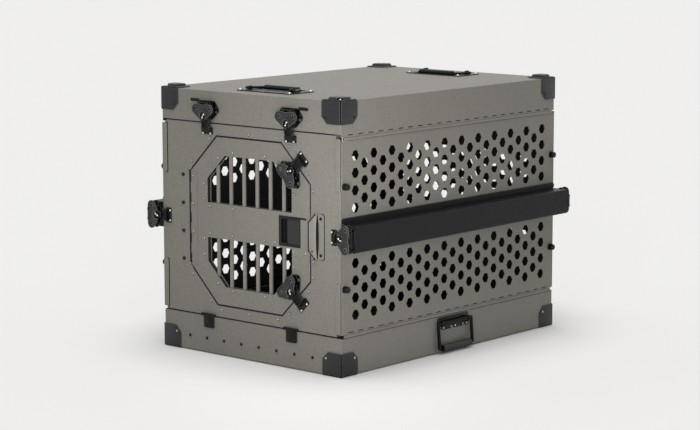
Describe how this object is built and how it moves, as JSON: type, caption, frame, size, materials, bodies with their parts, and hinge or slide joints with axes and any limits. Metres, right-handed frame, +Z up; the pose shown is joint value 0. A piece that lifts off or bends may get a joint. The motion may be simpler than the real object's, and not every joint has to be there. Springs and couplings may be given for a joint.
{
  "type": "collapsible dog crate",
  "caption": "Collapsible sheet-metal dog crate with hexagonal vents, folding side walls, swing door with upright tubes, draw latches, corner guards and carry handles.",
  "frame": {"origin": "centre of the crate's footprint at floor level", "axes": "+Z up, the door end faces -Y, +X is the right side wall seen from the door end"},
  "size_m": [0.711, 0.916, 0.6919],
  "materials": {
    "painted_shell": "fine-textured warm grey powder coat on aluminium",
    "black_hardware": "semi-gloss black",
    "black_bar": "satin black powder coat on aluminium",
    "rubber": "matte"
  },
  "bodies": {
    "base": {"base_tray": "painted_shell", "base_corner_guards": "black_hardware", "base_side_hinges": "painted_shell", "base_panel_clips": "black_hardware", "base_screws": "black_hardware", "base_handle_plates": "black_hardware"},
    "right_carry_bail": {"right_carry_bail": "black_hardware"},
    "left_carry_bail": {"left_carry_bail": "black_hardware"},
    "right_lower_wall": {"right_lower_wall": "painted_shell", "right_lower_bumpers": "rubber"},
    "left_lower_wall": {"left_lower_wall": "painted_shell", "left_lower_bumpers": "rubber"},
    "right_upper_wall": {"right_upper_wall": "painted_shell", "right_upper_bumpers": "rubber", "right_bar_rail": "black_bar"},
    "left_upper_wall": {"left_upper_wall": "painted_shell", "left_upper_bumpers": "rubber", "left_bar_rail": "black_bar"},
    "lid": {"lid_shell": "painted_shell", "lid_corner_guards": "black_hardware", "lid_side_hinges": "painted_shell", "lid_latch_cases": "black_hardware", "lid_handle_plates": "black_hardware", "rear_lid_latches": "black_hardware"},
    "front_lid_bail": {"front_lid_bail": "black_hardware"},
    "rear_lid_bail": {"rear_lid_bail": "black_hardware"},
    "right_lock_bar": {"right_lock_bar": "black_bar", "right_bar_latch_cases": "black_hardware"},
    "left_lock_bar": {"left_lock_bar": "black_bar", "left_bar_latch_cases": "black_hardware"},
    "front_panel": {"front_panel": "painted_shell", "front_keepers": "black_hardware", "door_strike": "painted_shell", "door_hinge_fixed": "painted_shell"},
    "rear_panel": {"rear_panel": "painted_shell", "rear_keepers": "black_hardware"},
    "door": {"door_skin": "painted_shell", "door_bars": "painted_shell", "door_hinge_leaf": "painted_shell", "paddle_tray": "black_hardware", "door_latch_cases": "black_hardware"},
    "paddle": {"paddle": "black_hardware"},
    "latch_bolt": {"latch_bolt": "black_hardware"},
    "lid_front_right_wing": {"lid_front_right_wing": "black_hardware"},
    "lid_front_right_hook": {"lid_front_right_hook": "black_hardware"},
    "lid_front_left_wing": {"lid_front_left_wing": "black_hardware"},
    "lid_front_left_hook": {"lid_front_left_hook": "black_hardware"},
    "right_bar_front_wing": {"right_bar_front_wing": "black_hardware"},
    "right_bar_front_hook": {"right_bar_front_hook": "black_hardware"},
    "right_bar_rear_wing": {"right_bar_rear_wing": "black_hardware"},
    "right_bar_rear_hook": {"right_bar_rear_hook": "black_hardware"},
    "left_bar_front_wing": {"left_bar_front_wing": "black_hardware"},
    "left_bar_front_hook": {"left_bar_front_hook": "black_hardware"},
    "left_bar_rear_wing": {"left_bar_rear_wing": "black_hardware"},
    "left_bar_rear_hook": {"left_bar_rear_hook": "black_hardware"},
    "door_upper_wing": {"door_upper_wing": "black_hardware"},
    "door_upper_hook": {"door_upper_hook": "black_hardware"},
    "door_lower_wing": {"door_lower_wing": "black_hardware"},
    "door_lower_hook": {"door_lower_hook": "black_hardware"}
  },
  "joints": [
    {"name": "fold", "type": "hinge", "parent": "base", "child": "right_lower_wall", "pos_m": [0.3065, 0, 0.101], "axis": [0, 1, 0], "range_deg": [-76, 0]},
    {"name": "right_middle_fold", "type": "hinge", "parent": "right_lower_wall", "child": "right_upper_wall", "pos_m": [0.30825, 0, 0.3445], "axis": [0, 1, 0], "range_deg": [0, 152]},
    {"name": "lid_fold", "type": "hinge", "parent": "right_upper_wall", "child": "lid", "pos_m": [0.3065, 0, 0.588], "axis": [0, 1, 0], "range_deg": [-76, 0]},
    {"name": "left_fold", "type": "hinge", "parent": "base", "child": "left_lower_wall", "pos_m": [-0.3065, 0, 0.101], "axis": [0, 1, 0], "range_deg": [0, 76]},
    {"name": "left_middle_fold", "type": "hinge", "parent": "left_lower_wall", "child": "left_upper_wall", "pos_m": [-0.30825, 0, 0.3445], "axis": [0, 1, 0], "range_deg": [-152, 0]},
    {"name": "front_panel_away", "type": "slide", "parent": "base", "child": "front_panel", "axis": [0, -1, 0], "range_m": [0, 0.465]},
    {"name": "rear_panel_away", "type": "slide", "parent": "base", "child": "rear_panel", "axis": [0, 1, 0], "range_m": [0, 0.465]},
    {"name": "right_lock_bar_away", "type": "slide", "parent": "base", "child": "right_lock_bar", "axis": [1, 0, 0], "range_m": [0, 0.27]},
    {"name": "left_lock_bar_away", "type": "slide", "parent": "base", "child": "left_lock_bar", "axis": [-1, 0, 0], "range_m": [0, 0.27]},
    {"name": "door_swing", "type": "hinge", "parent": "front_panel", "child": "door", "pos_m": [-0.2074, -0.4355, 0.349], "axis": [0, 0, -1], "range_deg": [0, 110]},
    {"name": "paddle_turn", "type": "hinge", "parent": "door", "child": "paddle", "pos_m": [0.1675, -0.4349, 0.347], "axis": [0, 0, 1], "range_deg": [0, 40], "stiffness_Nm_per_rad": 0.4},
    {"name": "bolt_slide", "type": "slide", "parent": "door", "child": "latch_bolt", "axis": [-1, 0, 0], "range_m": [0, 0.01396]},
    {"name": "right_carry_swing", "type": "hinge", "parent": "base", "child": "right_carry_bail", "pos_m": [0.3152, 0, 0.079], "axis": [0, -1, 0], "range_deg": [0, 100]},
    {"name": "left_carry_swing", "type": "hinge", "parent": "base", "child": "left_carry_bail", "pos_m": [-0.3152, 0, 0.079], "axis": [0, 1, 0], "range_deg": [0, 100]},
    {"name": "front_lid_swing", "type": "hinge", "parent": "lid", "child": "front_lid_bail", "pos_m": [0, -0.355, 0.6863], "axis": [1, 0, 0], "range_deg": [0, 95]},
    {"name": "rear_lid_swing", "type": "hinge", "parent": "lid", "child": "rear_lid_bail", "pos_m": [0, 0.355, 0.6863], "axis": [-1, 0, 0], "range_deg": [0, 95]},
    {"name": "lid_front_right_wing_turn", "type": "hinge", "parent": "lid", "child": "lid_front_right_wing", "pos_m": [0.1435, -0.4375, 0.616], "axis": [0, -1, 0], "range_deg": [0, 180]},
    {"name": "lid_front_right_hook_slide", "type": "slide", "parent": "lid", "child": "lid_front_right_hook", "axis": [0, 0, -1], "range_m": [0, 0.008]},
    {"name": "lid_front_left_wing_turn", "type": "hinge", "parent": "lid", "child": "lid_front_left_wing", "pos_m": [-0.1435, -0.4375, 0.616], "axis": [0, -1, 0], "range_deg": [0, 180]},
    {"name": "lid_front_left_hook_slide", "type": "slide", "parent": "lid", "child": "lid_front_left_hook", "axis": [0, 0, -1], "range_m": [0, 0.008]},
    {"name": "right_bar_front_wing_turn", "type": "hinge", "parent": "right_lock_bar", "child": "right_bar_front_wing", "pos_m": [0.3168, -0.4375, 0.347], "axis": [0, -1, 0], "range_deg": [0, 180]},
    {"name": "right_bar_front_hook_slide", "type": "slide", "parent": "right_lock_bar", "child": "right_bar_front_hook", "axis": [-1, 0, 0], "range_m": [0, 0.008]},
    {"name": "right_bar_rear_wing_turn", "type": "hinge", "parent": "right_lock_bar", "child": "right_bar_rear_wing", "pos_m": [0.3168, 0.4375, 0.347], "axis": [0, 1, 0], "range_deg": [0, 180]},
    {"name": "right_bar_rear_hook_slide", "type": "slide", "parent": "right_lock_bar", "child": "right_bar_rear_hook", "axis": [-1, 0, 0], "range_m": [0, 0.008]},
    {"name": "left_bar_front_wing_turn", "type": "hinge", "parent": "left_lock_bar", "child": "left_bar_front_wing", "pos_m": [-0.3168, -0.4375, 0.347], "axis": [0, -1, 0], "range_deg": [0, 180]},
    {"name": "left_bar_front_hook_slide", "type": "slide", "parent": "left_lock_bar", "child": "left_bar_front_hook", "axis": [1, 0, 0], "range_m": [0, 0.008]},
    {"name": "left_bar_rear_wing_turn", "type": "hinge", "parent": "left_lock_bar", "child": "left_bar_rear_wing", "pos_m": [-0.3168, 0.4375, 0.347], "axis": [0, 1, 0], "range_deg": [0, 180]},
    {"name": "left_bar_rear_hook_slide", "type": "slide", "parent": "left_lock_bar", "child": "left_bar_rear_hook", "axis": [1, 0, 0], "range_m": [0, 0.008]},
    {"name": "door_upper_wing_turn", "type": "hinge", "parent": "door", "child": "door_upper_wing", "pos_m": [0.15357, -0.4375, 0.50047], "axis": [0, -1, 0], "range_deg": [0, 180]},
    {"name": "door_upper_hook_slide", "type": "slide", "parent": "door", "child": "door_upper_hook", "axis": [0.7071, 0, 0.7071], "range_m": [0, 0.008]},
    {"name": "door_lower_wing_turn", "type": "hinge", "parent": "door", "child": "door_lower_wing", "pos_m": [0.15357, -0.4375, 0.19753], "axis": [0, -1, 0], "range_deg": [0, 180]},
    {"name": "door_lower_hook_slide", "type": "slide", "parent": "door", "child": "door_lower_hook", "axis": [0.7071, 0, -0.7071], "range_m": [0, 0.008]}
  ],
  "couplings": [
    {"joint": "right_middle_fold", "follows": "fold", "ratio": -2},
    {"joint": "lid_fold", "follows": "fold", "ratio": 1},
    {"joint": "left_fold", "follows": "fold", "ratio": -1},
    {"joint": "left_middle_fold", "follows": "fold", "ratio": 2},
    {"joint": "front_panel_away", "follows": "fold", "m_per_rad": -0.35},
    {"joint": "rear_panel_away", "follows": "fold", "m_per_rad": -0.35},
    {"joint": "right_lock_bar_away", "follows": "fold", "m_per_rad": -0.2},
    {"joint": "left_lock_bar_away", "follows": "fold", "m_per_rad": -0.2},
    {"joint": "paddle_turn", "follows": "bolt_slide", "rad_per_m": 50},
    {"joint": "lid_front_right_hook_slide", "follows": "lid_front_right_wing_turn", "m_per_rad": 0.0025},
    {"joint": "lid_front_left_hook_slide", "follows": "lid_front_left_wing_turn", "m_per_rad": 0.0025},
    {"joint": "right_bar_front_hook_slide", "follows": "right_bar_front_wing_turn", "m_per_rad": 0.0025},
    {"joint": "right_bar_rear_hook_slide", "follows": "right_bar_rear_wing_turn", "m_per_rad": 0.0025},
    {"joint": "left_bar_front_hook_slide", "follows": "left_bar_front_wing_turn", "m_per_rad": 0.0025},
    {"joint": "left_bar_rear_hook_slide", "follows": "left_bar_rear_wing_turn", "m_per_rad": 0.0025},
    {"joint": "door_upper_hook_slide", "follows": "door_upper_wing_turn", "m_per_rad": 0.0025},
    {"joint": "door_lower_hook_slide", "follows": "door_lower_wing_turn", "m_per_rad": 0.0025}
  ]
}
